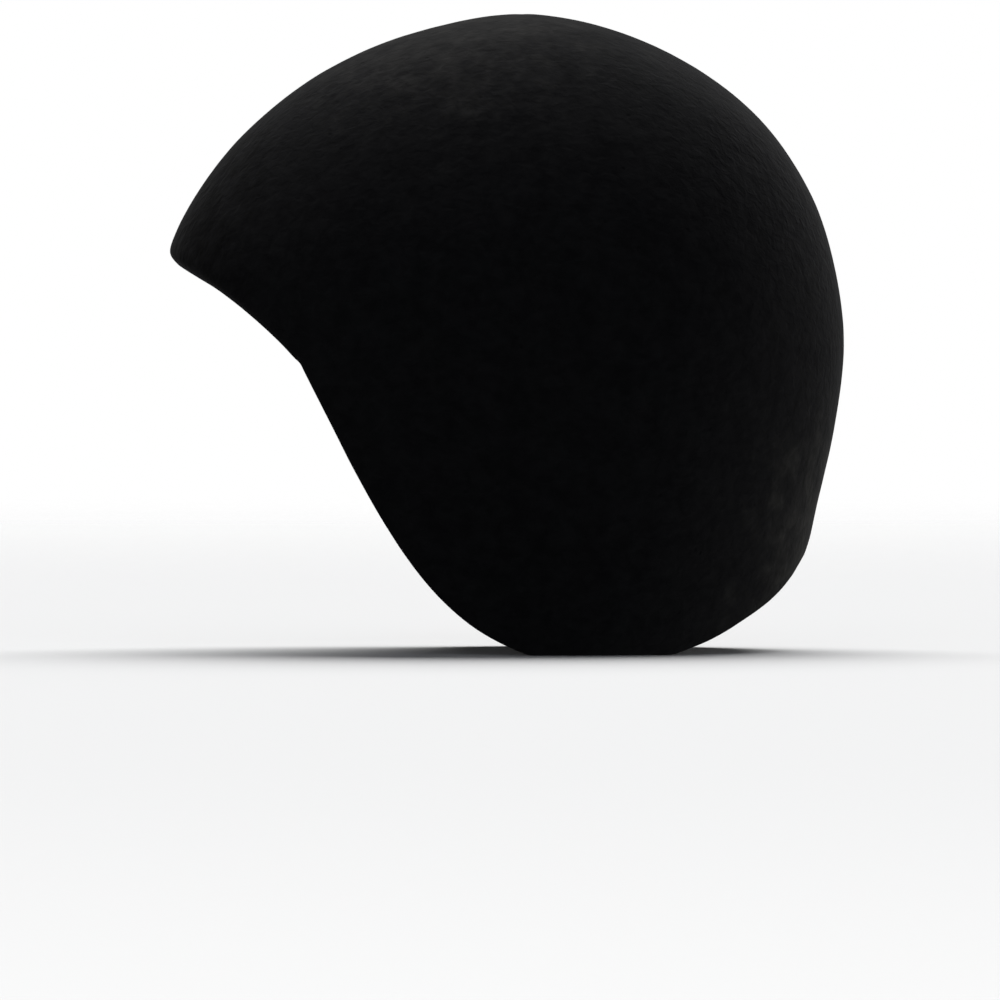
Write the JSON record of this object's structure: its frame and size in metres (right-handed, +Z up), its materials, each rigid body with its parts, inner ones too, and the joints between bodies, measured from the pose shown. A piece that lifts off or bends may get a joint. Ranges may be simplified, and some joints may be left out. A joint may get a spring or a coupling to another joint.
{
  "type": "capulet hat",
  "caption": "Close helmet-shaped cap of blocked black felt with a small tip over the brow, rounded ear lobes and an arched nape, worn over the head.",
  "frame": {"origin": "on the surface the hat stands on, under the middle of its box", "axes": "+Z up as worn, -Y towards the face, +X towards the wearer's left ear"},
  "size_m": [0.166, 0.2124, 0.2009],
  "materials": {
    "felt": "matt black felt with a short nap"
  },
  "bodies": {
    "root": {"felt_cap": "felt"}
  },
  "joints": []
}
